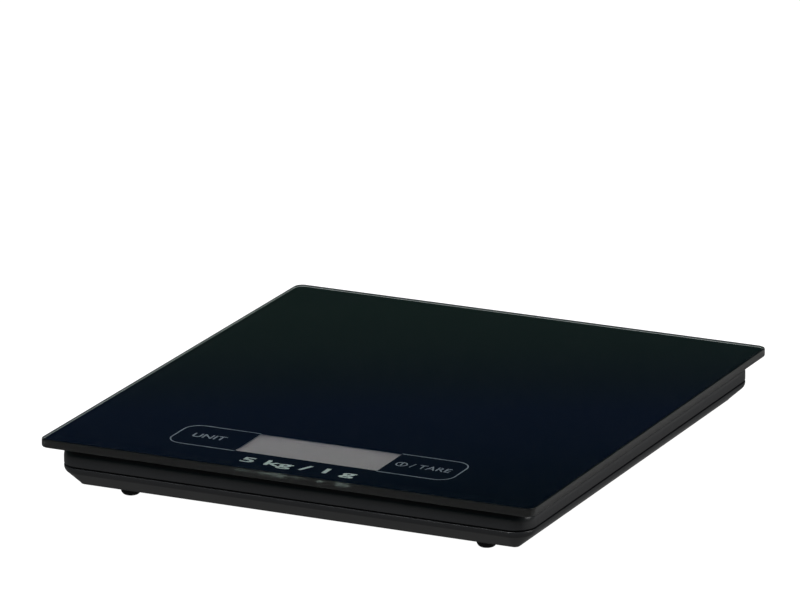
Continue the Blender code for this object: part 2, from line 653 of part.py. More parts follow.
def make_board():
    laminate = finish_material("green_fibreglass", (0.02, 0.12, 0.05), 0.4)
    steel = finish_material(*STEEL)
    board = mesh_object("main_pcb", slab(
        (0, DISPLAY_Y), (BOARD_LENGTH, BOARD_WIDTH, (BOARD_BOTTOM, BOARD_TOP)), BOARD_CORNER, 2),
        material=laminate)
    head = (SMALL_HEAD_RADIUS, SMALL_HEAD_HEIGHT)
    for name, place in board_screw_places():
        cut(board, disc(place, SMALL_SCREW_RADIUS + TOUCH_GAP, BOARD_BOTTOM - CUT_PAST,
                        BOARD_TOP + CUT_PAST, sides=SMALL_SIDES), f"board_hole_{name}")
        screw(f"pcb_screw_{name}", place, SMALL_SCREW_RADIUS, head, BOARD_BOTTOM - TOUCH_GAP,
              COVER_CEILING, steel)
    epoxy = finish_material("black_epoxy", (0.01, 0.01, 0.01), 0.3)
    chip_top = BOARD_BOTTOM - TOUCH_GAP
    blob = disc((CHIP_BLOB_X, DISPLAY_Y), CHIP_BLOB_TIP_RADIUS, chip_top - CHIP_HEIGHT, chip_top,
                top_radius=CHIP_BLOB_RADIUS)
    mesh_object("controller_chip", blob, material=epoxy)
    mesh_object("weighing_chip", slab(
        (WEIGHING_CHIP_X, DISPLAY_Y), (WEIGHING_CHIP_LENGTH, WEIGHING_CHIP_WIDTH,
                                       (chip_top - CHIP_HEIGHT, chip_top))), material=epoxy)
    nylon = finish_material("white_nylon", (0.78, 0.76, 0.70), 0.5)
    mesh_object("wire_connector", slab(
        (0, HEADER_Y), (HEADER_LENGTH, HEADER_WIDTH, (chip_top - HEADER_HEIGHT, chip_top))), material=nylon)

    # Touch springs stand on the board and press on the underside of the glass
    low = BOARD_TOP + TOUCH_GAP + TOUCH_WIRE_RADIUS
    high = GLASS_BOTTOM - TOUCH_GAP - TOUCH_WIRE_RADIUS
    steps = 12 * TOUCH_SPRING_TURNS
    for name, place in key_places():
        points = []
        for step in range(steps + 1):
            turn = 2 * math.pi * TOUCH_SPRING_TURNS * step / steps
            points.append((place[0] + TOUCH_SPRING_RADIUS * math.cos(turn),
                           place[1] + TOUCH_SPRING_RADIUS * math.sin(turn),
                           low + (high - low) * step / steps))
        wire(f"touch_spring_{name}", points, TOUCH_WIRE_RADIUS, steel)


def make_battery():
    nickel = finish_material("nickel_plated_steel", (0.68, 0.67, 0.63), 0.25, 1.0)
    middle = (BATTERY_X, BATTERY_Y)
    mesh_object("coin_cell", disc(middle, COIN_RADIUS, COIN_BOTTOM, COIN_TOP), material=nickel)
    strip = CONTACT_THICKNESS
    mesh_object("contact_negative", slab(
        (BATTERY_X, BATTERY_Y), (2 * WELL_RADIUS - 4 * RUNNING_GAP, CONTACT_WIDTH,
                                 (COIN_TOP + TOUCH_GAP, COIN_TOP + TOUCH_GAP + strip))), material=nickel)
    side_x = BATTERY_X - COIN_RADIUS - TOUCH_GAP - strip / 2
    mesh_object("contact_positive", slab(
        (side_x, BATTERY_Y), (strip, CONTACT_WIDTH, (COIN_BOTTOM + TOUCH_GAP, WELL_CEILING - TOUCH_GAP))),
        material=nickel)


def make_wires():
    """The leads and the load cell's cable, run from their ends to the board's connector."""
    run_z = WELL_ROOF + 2 * LEAD_RADIUS
    end_y = HEADER_Y + HEADER_WIDTH / 2 + 2 * TOUCH_GAP
    plug_z = BOARD_BOTTOM - TOUCH_GAP - HEADER_HEIGHT / 2
    pitch = 6 * LEAD_RADIUS
    aside = -BRACKET_LENGTH / 2 - pitch
    colours = {"positive": (0.50, 0.02, 0.02), "negative": (0.01, 0.01, 0.01)}
    for number, (name, place) in enumerate(lead_holes()):
        lane = aside - (1 - number) * pitch
        slot = -HEADER_LENGTH / 2 + (number + 1) * 4 * LEAD_RADIUS
        across_y = end_y + (number + 3) * pitch
        corners = [(*place, WELL_CEILING + TOUCH_GAP), (*place, run_z),
                   (lane, BATTERY_Y - WELL_RADIUS, run_z), (lane, across_y, plug_z),
                   (slot, across_y, plug_z), (slot, end_y, plug_z)]
        sheath = finish_material(f"{name}_sheath", colours[name], 0.5)
        wire(f"battery_lead_{name}", smooth_route(corners, 4 * LEAD_RADIUS), LEAD_RADIUS, sheath)
    start_y = BODY_Y - CELL_WIDTH / 2 - CABLE_RADIUS - TOUCH_GAP
    middle = (CELL_BOTTOM + CELL_TOP) / 2
    slot = HEADER_LENGTH / 4
    corners = [(0, start_y, middle), (slot, start_y, middle), (slot, end_y + CABLE_STRAIGHT_END, plug_z),
               (slot, end_y, plug_z)]
    sheath = finish_material("grey_sheath", (0.2, 0.2, 0.2), 0.5)
    wire("load_cell_cable", smooth_route(corners, 1.5 * CABLE_RADIUS), CABLE_RADIUS, sheath)


def make_door():
    """The battery door: it turns down about the middle of its back edge."""
    plastic = finish_material(*BLACK_PLASTIC)
    hinge = Vector((BATTERY_X, BATTERY_Y + DOOR_LENGTH / 2 - DOOR_THICKNESS / 2,
                    BASE_BOTTOM + DOOR_THICKNESS / 2))
    low = -DOOR_THICKNESS / 2
    plate = slab((0, -DOOR_LENGTH / 2 + DOOR_THICKNESS / 2),
                 (DOOR_WIDTH, DOOR_LENGTH, (low, -low)), DOOR_CORNER, 3)
    door = mesh_object("battery_door", plate, material=plastic)
    latch_y = -DOOR_LENGTH + DOOR_THICKNESS / 2 + DOOR_TAB_DEPTH / 2
    latch = slab((0, latch_y), (DOOR_TAB_LENGTH, DOOR_TAB_DEPTH, (-low - JOIN_DEPTH, -low + DOOR_TAB_DEPTH)))
    latch_object = join(door, latch, "door_latch")
    door.location = hinge
    latch_object.location = hinge


def make_label():
    paper = finish_material("silver_label", (0.55, 0.55, 0.56), 0.5)
    mesh_object("rating_label", slab(
        (0, LABEL_Y), (LABEL_LENGTH, LABEL_WIDTH, (BASE_BOTTOM, BASE_BOTTOM + LABEL_THICKNESS)),
        LABEL_CORNER, 3), material=paper)


clear_scene()
make_glass()
make_base()
make_feet()
make_load_cell()
make_bracket()
make_cover()
make_tape()
make_display()
make_board()
make_battery()
make_wires()
make_door()
make_label()
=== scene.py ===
import math
import bmesh
import bpy
from mathutils import Matrix, Vector


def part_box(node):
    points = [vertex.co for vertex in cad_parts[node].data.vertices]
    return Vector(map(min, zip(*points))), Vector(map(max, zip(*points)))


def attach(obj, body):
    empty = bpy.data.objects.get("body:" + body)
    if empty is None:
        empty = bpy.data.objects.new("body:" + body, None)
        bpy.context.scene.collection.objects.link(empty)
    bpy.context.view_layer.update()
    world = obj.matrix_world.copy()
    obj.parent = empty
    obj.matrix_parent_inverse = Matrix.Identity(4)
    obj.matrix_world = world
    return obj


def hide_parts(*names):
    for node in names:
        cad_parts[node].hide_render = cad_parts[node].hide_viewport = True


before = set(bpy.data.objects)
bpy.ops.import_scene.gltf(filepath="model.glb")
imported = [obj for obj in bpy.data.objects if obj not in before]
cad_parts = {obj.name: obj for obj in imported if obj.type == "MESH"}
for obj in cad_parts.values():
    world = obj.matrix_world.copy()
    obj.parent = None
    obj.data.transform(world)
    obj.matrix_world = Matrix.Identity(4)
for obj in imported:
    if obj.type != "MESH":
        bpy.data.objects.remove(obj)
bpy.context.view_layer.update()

# The view: a long lens from the front right, a little above the worktop, with the scale
# in the lower half of the frame.
glass_low, glass_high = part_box("glass_platform")
view_turn = math.radians(24.98)
view_height = math.radians(16.72)
view_distance = 2.737
view_back = Vector((math.sin(view_turn) * math.cos(view_height),
                    -math.cos(view_turn) * math.cos(view_height), math.sin(view_height)))
view_right = Vector((math.cos(view_turn), math.sin(view_turn), 0))
view_up = view_back.cross(view_right)
aim_forward = 0.0007
aim_left = 0.0030
aim_above = 0.0312
aim = Vector((0, -aim_forward, glass_high.z)) - aim_left * view_right + aim_above * view_up
lens = bpy.data.cameras.new("long_lens")
lens.lens = 363.4
lens.clip_end = 40
camera = bpy.data.objects.new("camera", lens)
camera.location = aim + view_distance * view_back
camera.rotation_euler = Matrix((view_right, view_up, view_back)).transposed().to_euler()
bpy.context.scene.collection.objects.link(camera)
bpy.context.scene.camera = camera
bpy.context.scene.view_settings.view_transform = "Standard"


# The studio: a white acrylic sheet lit from below, so the scale stands in white with no hard
# shadow. The sheet is only looked at. A much weaker sheet in the same place lights the flanks.
def linear(hex_colour):
    """The linear colour of an sRGB hex value."""
    shares = [int(hex_colour[i:i + 2], 16) / 255 for i in (1, 3, 5)]
    return (*(s / 12.92 if s <= 0.04045 else ((s + 0.055) / 1.055) ** 2.4 for s in shares), 1)


def add(tree, kind, settings=None, links=None):
    """Adds a node, sets its settings and its sockets' values, and links sockets from other nodes."""
    node = tree.nodes.new(kind)
    for name, value in (settings or {}).items():
        if name in node.inputs:
            node.inputs[name].default_value = value
        else:
            setattr(node, name, value)
    for name, source in (links or {}).items():
        tree.links.new(source, node.inputs[name])
    return node


def blank_material(name):
    made = bpy.data.materials.new(name)
    made.use_nodes = True
    made.node_tree.nodes.clear()
    return made, made.node_tree


def surface(tree, shader):
    add(tree, "ShaderNodeOutputMaterial", {}, {"Surface": shader.outputs[0]})


def studio_sheet(name, half, colour, glow):
    """A level square sheet on the floor that glows, from half its width."""
    body = bmesh.new()
    bmesh.ops.create_grid(body, x_segments=1, y_segments=1, size=half)
    mesh = bpy.data.meshes.new(name)
    body.to_mesh(mesh)
    body.free()
    material, tree = blank_material(name + "_acrylic")
    surface(tree, add(tree, "ShaderNodeBsdfPrincipled", {
        "Base Color": linear(colour), "Roughness": 0.9, "Specular IOR Level": 0.0,
        "Emission Color": linear("#ffffff"), "Emission Strength": glow}))
    mesh.materials.append(material)
    sheet = bpy.data.objects.new(name, mesh)
    bpy.context.scene.collection.objects.link(sheet)
    sheet.visible_shadow = False
    return sheet


floor = studio_sheet("light_table", 8.0, "#707070", 1.0)
floor.visible_diffuse = False
floor.visible_glossy = False
bounce = studio_sheet("table_bounce", 1.5, "#000000", 0.15)
bounce.visible_camera = False
bounce.visible_transmission = False

# The room is dark: a dim green-grey glow low down, which turns bluer and darker from about
# 17 degrees up.
world = bpy.data.worlds.new("dim_studio")
world.use_nodes = True
tree = world.node_tree
tree.nodes.clear()
where = add(tree, "ShaderNodeTexCoord")
split = add(tree, "ShaderNodeSeparateXYZ", {}, {"Vector": where.outputs["Generated"]})
glow = add(tree, "ShaderNodeValToRGB", {}, {"Fac": split.outputs["Z"]})
for number, (level, colour) in enumerate(((0.291, "#2a3d3a"), (0.296, "#202f35"), (0.301, "#182740"),
                                          (0.306, "#14243a"), (0.311, "#0a1c2b"))):
    stop = glow.color_ramp.elements[number] if number < 2 else glow.color_ramp.elements.new(level)
    stop.position = level
    stop.color = linear(colour)
background = add(tree, "ShaderNodeBackground", {"Strength": 1.0}, {"Color": glow.outputs["Color"]})
add(tree, "ShaderNodeOutputWorld", {}, {"Surface": background.outputs[0]})
bpy.context.scene.world = world


def soft_box(name, turn, height, distance, size, power):
    """A square area light that faces the scale, placed by its turn about +Z from the front and its
    height above the table, both in degrees."""
    turn, height = math.radians(turn), math.radians(height)
    back = Vector((math.sin(turn) * math.cos(height), -math.cos(turn) * math.cos(height),
                   math.sin(height)))
    light = bpy.data.lights.new(name, "AREA")
    light.shape = "SQUARE"
    light.size = size
    light.energy = power
    box = bpy.data.objects.new(name, light)
    box.location = distance * back
    box.rotation_euler = back.to_track_quat("Z", "Y").to_euler()
    bpy.context.scene.collection.objects.link(box)
    return box


soft_box("key_box", turn=-5, height=42, distance=1.6, size=0.5, power=18)
soft_box("side_box", turn=100, height=30, distance=1.6, size=0.8, power=14)
soft_box("top_box", turn=0, height=88, distance=1.8, size=0.9, power=10)

# A low strip of light lies on the table beside the scale and faces up at its right flank.
reflector = soft_box("side_reflector", turn=0, height=90, distance=0.001, size=0.03, power=0.012)
reflector.data.shape = "RECTANGLE"
reflector.data.size_y = 0.40
reflector.rotation_euler = (math.pi, 0, 0)
reflector.location = (0.128, 0.09, 0.001)
reflector.visible_camera = False
reflector.visible_transmission = False


# Rubber feet: four moulded domes pressed by their pegs into pockets under the base.
# Plain black rubber, matt, with a fine rough skin.
same_place = 0.000001


def grown(name, body, body_name, material, smooth=30):
    """Makes a finished piece from a bmesh and puts it on its CAD body."""
    bmesh.ops.remove_doubles(body, verts=body.verts, dist=same_place)
    bmesh.ops.recalc_face_normals(body, faces=body.faces)
    mesh = bpy.data.meshes.new(name)
    body.to_mesh(mesh)
    body.free()
    mesh.shade_smooth()
    mesh.set_sharp_from_angle(angle=math.radians(smooth))
    mesh.materials.append(material)
    piece = bpy.data.objects.new(name, mesh)
    bpy.context.scene.collection.objects.link(piece)
    even = piece.modifiers.new("even_shading", "WEIGHTED_NORMAL")
    even.keep_sharp = True
    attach(piece, body_name)
    return piece


def skin_bump(tree, grain, depth):
    """A fine random skin in Object coordinates. grain is its spacing and depth its height, in
    metres. Returns the coordinates, the noise and the bump."""
    place = add(tree, "ShaderNodeTexCoord")
    noise = add(tree, "ShaderNodeTexNoise", {"Scale": 1 / grain, "Detail": 2.0},
                {"Vector": place.outputs["Object"]})
    bump = add(tree, "ShaderNodeBump", {"Strength": 0.6, "Distance": depth},
               {"Height": noise.outputs["Fac"]})
    return place, noise, bump


rubber, tree = blank_material("moulded_black_rubber")
*_, bump = skin_bump(tree, 0.0004, 0.00003)
surface(tree, add(tree, "ShaderNodeBsdfPrincipled", {
    "Base Color": linear("#141414"), "Roughness": 0.75, "Specular IOR Level": 0.35},
    {"Normal": bump.outputs["Normal"]}))

foot_flat = 0.0018
foot_round = 0.0022
arc_steps = 12
foot_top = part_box("battery_door")[0].z
for end in ("front", "back"):
    for side in ("left", "right"):
        node = f"rubber_foot_{end}_{side}"
        low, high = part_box(node)
        radius = (high.x - low.x) / 2
        middle = Vector(((low.x + high.x) / 2, (low.y + high.y) / 2, 0))
        foot = bmesh.new()
        outline = [(0, foot_top), (radius, foot_top)]
        for step in range(arc_steps + 1):
            turn = math.pi / 2 * (1 - step / arc_steps)
            outline.append((foot_flat + (radius - foot_flat) * math.sin(turn),
                            foot_round * (1 - math.cos(turn))))
        outline.append((0, 0))
        points = [foot.verts.new((x, 0, z)) for x, z in outline]
        for a, b in zip(points, points[1:]):
            foot.edges.new((a, b))
        bmesh.ops.spin(foot, geom=foot.verts[:] + foot.edges[:], cent=(0, 0, 0), axis=(0, 0, 1),
                       dvec=(0, 0, 0), angle=2 * math.pi, steps=48, use_merge=True)
        bmesh.ops.translate(foot, verts=foot.verts, vec=middle)
        piece = grown(f"foot_{end}_{side}", foot, "base", rubber, 50)
        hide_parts(node)

# Base shell: the lower tray, injection moulded in black ABS with a fine spark-eroded skin. Its
# underside slopes in all round, and a lip behind the seam keeps crumbs out of the travel gap.
def rounded_block(centre, width, depth, low, high, corner, segments=14):
    """A box with rounded upright corners, as a bmesh."""
    body = bmesh.new()
    bmesh.ops.create_cube(body, size=1)
    bmesh.ops.scale(body, verts=body.verts, vec=(width, depth, high - low))
    bmesh.ops.translate(body, verts=body.verts, vec=(centre[0], centre[1], (low + high) / 2))
    upright = [e for e in body.edges if abs(e.verts[0].co.z - e.verts[1].co.z) > same_place]
    bmesh.ops.bevel(body, geom=upright, offset=corner, offset_type="OFFSET", segments=segments,
                    profile=0.5, affect="EDGES", material=-1)
    return body


def soften(body, height, width, segments=3):
    """Rounds the ring of edges at one height."""
    ring = [e for e in body.edges if all(abs(v.co.z - height) < same_place for v in e.verts)]
    bmesh.ops.bevel(body, geom=ring, offset=width, offset_type="OFFSET", segments=segments,
                    profile=0.5, affect="EDGES", material=-1)


def round_block(centre, radius, low, high, sides=48):
    body = bmesh.new()
    bmesh.ops.create_cone(body, cap_ends=True, segments=sides, radius1=radius, radius2=radius,
                          depth=high - low, matrix=Matrix.Translation((*centre, (low + high) / 2)))
    return body


def carved(body, steps):
    """Joins and cuts a bmesh with others by exact Booleans, in order. Returns a new bmesh."""
    made = []

    def loose(part):
        mesh = bpy.data.meshes.new("carving")
        bmesh.ops.recalc_face_normals(part, faces=part.faces)
        part.to_mesh(mesh)
        part.free()
        thing = bpy.data.objects.new("carving", mesh)
        bpy.context.scene.collection.objects.link(thing)
        made.append(thing)
        return thing

    target = loose(body)
    for operation, tool in steps:
        carve = target.modifiers.new("carve", "BOOLEAN")
        carve.operation = operation
        carve.solver = "EXACT"
        carve.object = loose(tool)
    view = bpy.context.evaluated_depsgraph_get()
    result = bmesh.new()
    result.from_mesh(target.evaluated_get(view).to_mesh())
    for thing in made:
        bpy.data.objects.remove(thing)
    return result


def moulded_plastic(name, colour, grain, depth, low_roughness, high_roughness):
    """Moulded ABS: an even colour with a fine skin that breaks the highlights up softly."""
    material, tree = blank_material(name)
    place, _, bump = skin_bump(tree, grain, depth)
    cloud = add(tree, "ShaderNodeTexNoise", {"Scale": 1 / 0.018, "Detail": 3.0},
                {"Vector": place.outputs["Object"]})
    shine = add(tree, "ShaderNodeMapRange", {"From Min": 0.3, "From Max": 0.7, "To Min": low_roughness,
                                             "To Max": high_roughness}, {"Value": cloud.outputs["Fac"]})
    tint = add(tree, "ShaderNodeMixRGB", {"Color1": linear(colour[0]), "Color2": linear(colour[1])},
               {"Fac": cloud.outputs["Fac"]})
    surface(tree, add(tree, "ShaderNodeBsdfPrincipled", {"IOR": 1.53}, {
        "Base Color": tint.outputs["Color"], "Roughness": shine.outputs["Result"],
        "Normal": bump.outputs["Normal"]}))
    return material


black_abs = moulded_plastic("spark_eroded_black_abs", ("#1d1e20", "#232426"), grain=0.00045,
                            depth=0.00002, low_roughness=0.28, high_roughness=0.36)

body_corner = 0.0075
wall = 0.0018
travel_gap = 0.0006
fit_gap = 0.0005
slope_in = 0.0056
slope_up = 0.0055
edge_round = 0.0005
cover_low, cover_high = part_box("upper_cover")
body_width = cover_high.x - cover_low.x
body_depth = cover_high.y - cover_low.y
body_centre = ((cover_low.x + cover_high.x) / 2, (cover_low.y + cover_high.y) / 2)
base_top = cover_low.z - travel_gap
base_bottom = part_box("base_shell")[0].z
floor_thickness = 0.0018
hollow_share = 0.8
past = 0.001
pocket_gap = 0.0003


def tray_outline(low, high, inset, share, rounded):
    """The base's outside or its hollow: a slope of an even width all round the bottom, then an
    upright band. share is the part of the full slope that it takes."""
    body = rounded_block(body_centre, body_width - 2 * inset, body_depth - 2 * inset, low, high,
                         body_corner - inset)
    bend = low + share * slope_up
    bmesh.ops.bisect_plane(body, geom=body.verts[:] + body.edges[:] + body.faces[:],
                           plane_co=(0, 0, bend), plane_no=(0, 0, 1))
    shrink = 1 - share * slope_in / (body_corner - inset)
    for point in body.verts:
        if abs(point.co.z - low) < same_place:
            x, y = point.co.x - body_centre[0], point.co.y - body_centre[1]
            middle = Vector((body_centre[0] + math.copysign(body_width / 2 - body_corner, x),
                             body_centre[1] + math.copysign(body_depth / 2 - body_corner, y), low))
            point.co = middle.lerp(point.co, shrink)
    if rounded:
        for height, width in ((low, edge_round), (bend, 2 * edge_round), (high, edge_round / 3)):
            soften(body, height, width)
    return body


def body_block(low, high, inset):
    return rounded_block(body_centre, body_width - 2 * inset, body_depth - 2 * inset, low, high,
                         body_corner - inset)


def body_frame(low, high, outer, inner):
    """A frame that follows the body's outline, between two insets."""
    return carved(body_block(low, high, outer),
                  [("DIFFERENCE", body_block(low - past, high + past, inner))])


door_low, door_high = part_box("battery_door")
door_middle = ((door_low.x + door_high.x) / 2, (door_low.y + door_high.y) / 2)
label_low, label_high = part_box("rating_label")
label_middle = ((label_low.x + label_high.x) / 2, (label_low.y + label_high.y) / 2)
coin_low, coin_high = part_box("coin_cell")
coin_middle = ((coin_low.x + coin_high.x) / 2, (coin_low.y + coin_high.y) / 2)
door_thickness = 0.0012
lip_height = 0.0018
lip_thickness = 0.0009
lip_root = 0.0012
well_radius = 0.0133
well_roof = 0.0023
well_bore = 0.0105
well_bore_gap = 0.0009
notch_length = 0.0070
notch_width = 0.0036
door_corner = 0.0012
label_corner = 0.0015
counterbore_depth = 0.0015
lip_outer = wall + fit_gap
lip_inner = wall + fit_gap + lip_thickness
steps = [("DIFFERENCE", tray_outline(base_bottom + floor_thickness, base_top + past, wall,
                                     hollow_share, False)),
         ("UNION", body_frame(base_top - lip_root, base_top, wall - fit_gap, lip_inner)),
         ("UNION", body_frame(base_top - fit_gap, base_top + lip_height, lip_outer, lip_inner)),
         ("UNION", round_block(coin_middle, well_radius, base_bottom + fit_gap,
                               coin_high.z + well_roof)),
         ("DIFFERENCE", round_block(coin_middle, well_bore, base_bottom - past,
                                    coin_high.z + well_bore_gap)),
         ("DIFFERENCE", rounded_block(door_middle, door_high.x - door_low.x + 2 * fit_gap,
                                      door_high.y - door_low.y + 2 * fit_gap, base_bottom - past,
                                      base_bottom + door_thickness + pocket_gap, door_corner, 4)),
         ("DIFFERENCE", rounded_block((door_middle[0], door_low.y), notch_length, notch_width,
                                      base_bottom, base_bottom + floor_thickness + past, 0.0003, 2)),
         ("DIFFERENCE", rounded_block(label_middle, label_high.x - label_low.x + 2 * pocket_gap,
                                      label_high.y - label_low.y + 2 * pocket_gap,
                                      base_bottom - past, label_high.z + pocket_gap,
                                      label_corner, 4))]
for name in ("outer", "inner"):
    low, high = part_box(f"base_screw_{name}")
    middle = ((low.x + high.x) / 2, (low.y + high.y) / 2)
    steps.append(("DIFFERENCE", round_block(middle, (high.x - low.x) / 2 + pocket_gap,
                                            base_bottom - past, base_bottom + counterbore_depth)))
base = carved(tray_outline(base_bottom, base_top, 0, 1, True), steps)
base = grown("base_tray", base, "base", black_abs)
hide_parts("base_shell")

# Upper cover: the tray that foam tape fixes under the glass, of the same black ABS. Its top edge
# is well rounded, so it falls away into the shadow of the glass.
cover = body_block(cover_low.z, cover_high.z, 0)
cover_round = 0.0042
soften(cover, cover_high.z, cover_round, 10)
soften(cover, cover_low.z, edge_round / 3, 2)
frame_low, frame_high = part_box("lcd_frame")
display_middle = ((frame_low.x + frame_high.x) / 2, (frame_low.y + frame_high.y) / 2)
top_thickness = 0.0022
tape_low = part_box("tape_frame")[0]
pocket_outer = 0.0032
pocket_inner = 0.0088
steps = [("DIFFERENCE", body_block(cover_low.z - past, cover_high.z - top_thickness, wall)),
         ("DIFFERENCE", body_frame(tape_low.z - pocket_gap, cover_high.z + past, pocket_outer,
                                   pocket_inner)),
         ("DIFFERENCE", rounded_block(display_middle, frame_high.x - frame_low.x + 2 * fit_gap,
                                      frame_high.y - frame_low.y + 2 * fit_gap,
                                      cover_high.z - top_thickness - past, cover_high.z + past, 0.001, 3))]
for key in ("unit", "tare"):
    low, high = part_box(f"touch_spring_{key}")
    middle = ((low.x + high.x) / 2, (low.y + high.y) / 2)
    steps.append(("DIFFERENCE", round_block(middle, (high.x - low.x) / 2 + fit_gap,
                                            cover_high.z - top_thickness - past, cover_high.z + past)))
cover = grown("cover_tray", carved(cover, steps), "platform", black_abs)
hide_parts("upper_cover")

# Glass platform: 3 mm tempered soda-lime float glass, clear, with seamed and ground edges. The
# grinding leaves the edge satin; the two faces stay as smooth as the float bath made them.
float_glass, tree = blank_material("tempered_soda_lime_glass")
surface(tree, add(tree, "ShaderNodeBsdfPrincipled", {
    "Base Color": linear("#f4fbf7"), "Roughness": 0.0, "IOR": 1.52, "Transmission Weight": 1.0}))
ground_glass, tree = blank_material("ground_glass_edge")
*_, bump = skin_bump(tree, 0.0003, 0.000004)
surface(tree, add(tree, "ShaderNodeBsdfPrincipled", {
    "Base Color": linear("#5c6260"), "Roughness": 0.30, "IOR": 1.52, "Transmission Weight": 1.0},
    {"Normal": bump.outputs["Normal"]}))

glass_corner = 0.0033
arris = 0.0005
glass = rounded_block((0, 0), glass_high.x - glass_low.x, glass_high.y - glass_low.y, glass_low.z,
                      glass_high.z, glass_corner, 16)
for height in (glass_low.z, glass_high.z):
    soften(glass, height, arris, 2)
bmesh.ops.recalc_face_normals(glass, faces=glass.faces)
for face in glass.faces:
    face.material_index = 0 if abs(face.normal.z) > 0.99 else 1
glass = grown("glass_plate", glass, "platform", float_glass, 25)
glass.data.materials.append(ground_glass)
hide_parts("glass_platform")

# Back print: a black ceramic ink fired onto the underside of the glass. It stops short of the
# edge, which leaves a clear rim, and it is left open over the display.
def printing_ink(name, colour):
    """A flat, even print with almost no shine of its own, since the glass lies on it."""
    material, tree = blank_material(name)
    surface(tree, add(tree, "ShaderNodeBsdfPrincipled", {
        "Base Color": linear(colour), "Roughness": 0.6, "Specular IOR Level": 0.1}))
    return material


black_ink = printing_ink("fired_black_ink", "#030405")
ink_thickness = 0.00002
ink_clearance = 0.00001
ink_low = glass_low.z + ink_clearance
clear_rim = 0.0004
window_length = 0.052
window_width = 0.0195
ink = carved(
    rounded_block((0, 0), glass_high.x - glass_low.x - 2 * clear_rim,
                  glass_high.y - glass_low.y - 2 * clear_rim, ink_low, ink_low + ink_thickness,
                  glass_corner - clear_rim, 8),
    [("DIFFERENCE", rounded_block(display_middle, window_length, window_width, ink_low - past,
                                  ink_low + past, 0.0003, 2))])
ink = grown("black_back_print", ink, "platform", black_ink)

# Key outline, legends and marks: pale grey ink, screen printed before the black, so they show
# through the glass in front of it.
grey_ink = printing_ink("pale_grey_ink", "#a3adb3")
white_ink = printing_ink("grey_white_ink", "#d3e0da")
mark_low = ink_low + ink_thickness + ink_clearance
mark_high = mark_low + ink_thickness
outline_half = 0.0521
outline_width = 0.0208
outline_corner = 0.0058
line = 0.00045
outline = carved(
    rounded_block(display_middle, 2 * outline_half, outline_width, mark_low, mark_high,
                  outline_corner, 12),
    [("DIFFERENCE", rounded_block(display_middle, 2 * (outline_half - line),
                                  outline_width - 2 * line, mark_low - past, mark_high + past,
                                  outline_corner - line, 12)),
     ("DIFFERENCE", rounded_block(display_middle, window_length, 2 * outline_width, mark_low - past,
                                  mark_high + past, 0.0001, 1))])
outline = grown("key_outline", outline, "platform", grey_ink)


def legend(name, words, centre, width, height, ink=grey_ink, bold=0.0):
    """A printed legend as a flat mesh: the words scaled to a real width and height, centred on a
    point. bold thickens the strokes."""
    text = bpy.data.curves.new(name, "FONT")
    text.body = words
    text.offset = bold
    text.align_x = "CENTER"
    text.align_y = "CENTER"
    holder = bpy.data.objects.new(name + "_text", text)
    bpy.context.scene.collection.objects.link(holder)
    bpy.context.view_layer.update()
    view = bpy.context.evaluated_depsgraph_get()
    letters = bmesh.new()
    letters.from_mesh(holder.evaluated_get(view).to_mesh())
    bpy.data.objects.remove(holder)
    spread = [v.co.x for v in letters.verts]
    rise = [v.co.y for v in letters.verts]
    scale_x = width / (max(spread) - min(spread))
    scale_y = height / (max(rise) - min(rise))
    middle = Vector(((max(spread) + min(spread)) / 2, (max(rise) + min(rise)) / 2, 0))
    bmesh.ops.translate(letters, verts=letters.verts, vec=-middle)
    bmesh.ops.scale(letters, verts=letters.verts, vec=(scale_x, scale_y, 1))
    bmesh.ops.translate(letters, verts=letters.verts, vec=(*centre, mark_low))
    bmesh.ops.solidify(letters, geom=letters.faces[:], thickness=-ink_thickness)
    piece = grown(name, letters, "platform", ink)


def flat_ring(centre, radius, thickness):
    middle = round_block(centre, radius - thickness, mark_low - past, mark_high + past)
    return carved(round_block(centre, radius, mark_low, mark_high), [("DIFFERENCE", middle)])


legend_height = 0.0039
unit_centre = (-0.0402, display_middle[1])
tare_centre = (0.0410, display_middle[1])
legend("legend_unit", "UNIT", unit_centre, 0.0120, legend_height, grey_ink, 0.01)
legend("legend_tare", "/ TARE", tare_centre, 0.0146, legend_height)
power_centre = (0.0304, display_middle[1])
power_radius = 0.0021
power = carved(flat_ring(power_centre, power_radius, line),
               [("UNION", rounded_block(power_centre, line, 1.2 * power_radius, mark_low, mark_high,
                                        line / 4, 1))])
power = grown("power_mark", power, "platform", grey_ink)
capacity_centre = (0.0010, display_middle[1] - 0.0178)
legend("legend_capacity", "5 kg / 1 g", capacity_centre, 0.0420, 0.0066, white_ink, 0.02)

# Display: a reflective liquid-crystal cell, switched off, behind the opening in the print. Its
# front polariser makes it an almost even warm grey.
polariser, tree = blank_material("grey_polariser_film")
_, noise, bump = skin_bump(tree, 0.0006, 0.000002)
shade = add(tree, "ShaderNodeMapRange", {"From Min": 0.35, "From Max": 0.65},
            {"Value": noise.outputs["Fac"]})
tint = add(tree, "ShaderNodeMixRGB", {"Color1": linear("#c9babd"), "Color2": linear("#cfc0c3")},
           {"Fac": shade.outputs["Result"]})
surface(tree, add(tree, "ShaderNodeBsdfPrincipled", {"Roughness": 0.35, "IOR": 1.49},
                  {"Base Color": tint.outputs["Color"], "Normal": bump.outputs["Normal"]}))


def finish_node(material, *names):
    """Gives CAD nodes whose shape is right a better material."""
    for name in names:
        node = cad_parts[name]
        node.data.materials.clear()
        node.data.materials.append(material)


finish_node(polariser, "lcd_panel")

